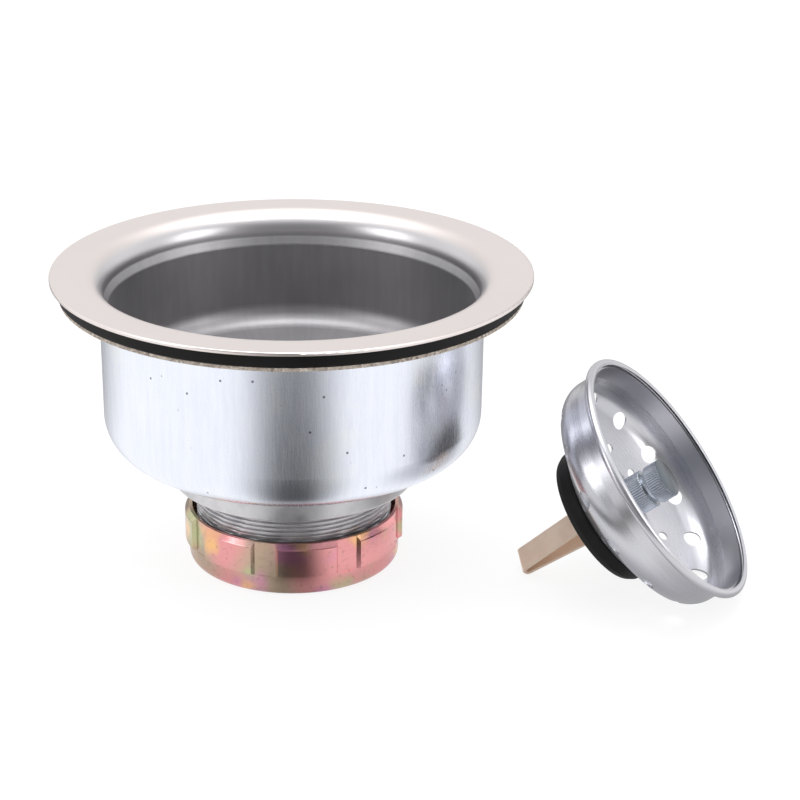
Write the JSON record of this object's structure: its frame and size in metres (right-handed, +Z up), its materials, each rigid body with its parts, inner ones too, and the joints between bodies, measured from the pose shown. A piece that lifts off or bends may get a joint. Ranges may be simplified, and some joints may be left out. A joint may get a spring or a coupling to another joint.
{
  "type": "basket strainer waste",
  "caption": "Kitchen sink waste: flanged stainless strainer body with a deep locking shell, ring nut and coupling nut, and a lift-out strainer basket with a rubber stopper lying beside it.",
  "frame": {"origin": "centre of the coupling nut's bottom face, on the axis of the waste", "axes": "+Z up along the axis of the waste, from the pipe end to the sink flange; +X toward the basket lying beside it; the picture looks along +Y"},
  "size_m": [0.1666, 0.1142, 0.0734],
  "materials": {
    "stainless_body": "satin stamped stainless steel",
    "stainless_basket": "bright drawn stainless steel",
    "plated_steel": "bright zinc plate with fine drawing marks",
    "dull_casting": "dull die-cast zinc",
    "yellow_chromate": "iridescent yellow chromate over die-cast zinc",
    "plated_knob": "bluish plated metal",
    "spring_steel": "bright spring steel",
    "black_rubber": "matt black rubber",
    "card_fibre": "speckled grey-brown fibre board",
    "white_plastic": "translucent white plastic"
  },
  "bodies": {
    "root": {"strainer_body": "stainless_body", "rubber_gasket": "black_rubber", "threaded_spud": "dull_casting", "crosspiece": "stainless_body", "basket_bowl": "stainless_basket", "knob_post": "plated_knob", "stopper": "black_rubber", "backing_washer": "stainless_basket", "spring_clip": "spring_steel", "clip_screw": "spring_steel"},
    "shell": {"locking_shell": "plated_steel", "friction_ring": "card_fibre"},
    "lock_nut": {"lock_nut": "dull_casting"},
    "washer": {"slip_washer": "white_plastic"},
    "coupling_nut": {"coupling_nut": "yellow_chromate"}
  },
  "joints": [
    {"name": "shell_drop", "type": "slide", "parent": "root", "child": "shell", "axis": [0, 0, 1], "range_m": [-0.0053, 0]},
    {"name": "lock_nut_turn", "type": "hinge", "parent": "shell", "child": "lock_nut", "pos_m": [0, 0, 0.025], "axis": [0, 0, 1], "range_deg": [-864, 0]},
    {"name": "washer_travel", "type": "slide", "parent": "root", "child": "washer", "axis": [0, 0, 1], "range_m": [-0.0033, 0.00165]},
    {"name": "coupling_nut_turn", "type": "hinge", "parent": "washer", "child": "coupling_nut", "pos_m": [0, 0, 0.007], "axis": [0, 0, 1], "range_deg": [-540, 270]}
  ],
  "couplings": [
    {"joint": "lock_nut_turn", "follows": "shell_drop", "rad_per_m": 2844.7},
    {"joint": "coupling_nut_turn", "follows": "washer_travel", "rad_per_m": 2844.7}
  ]
}
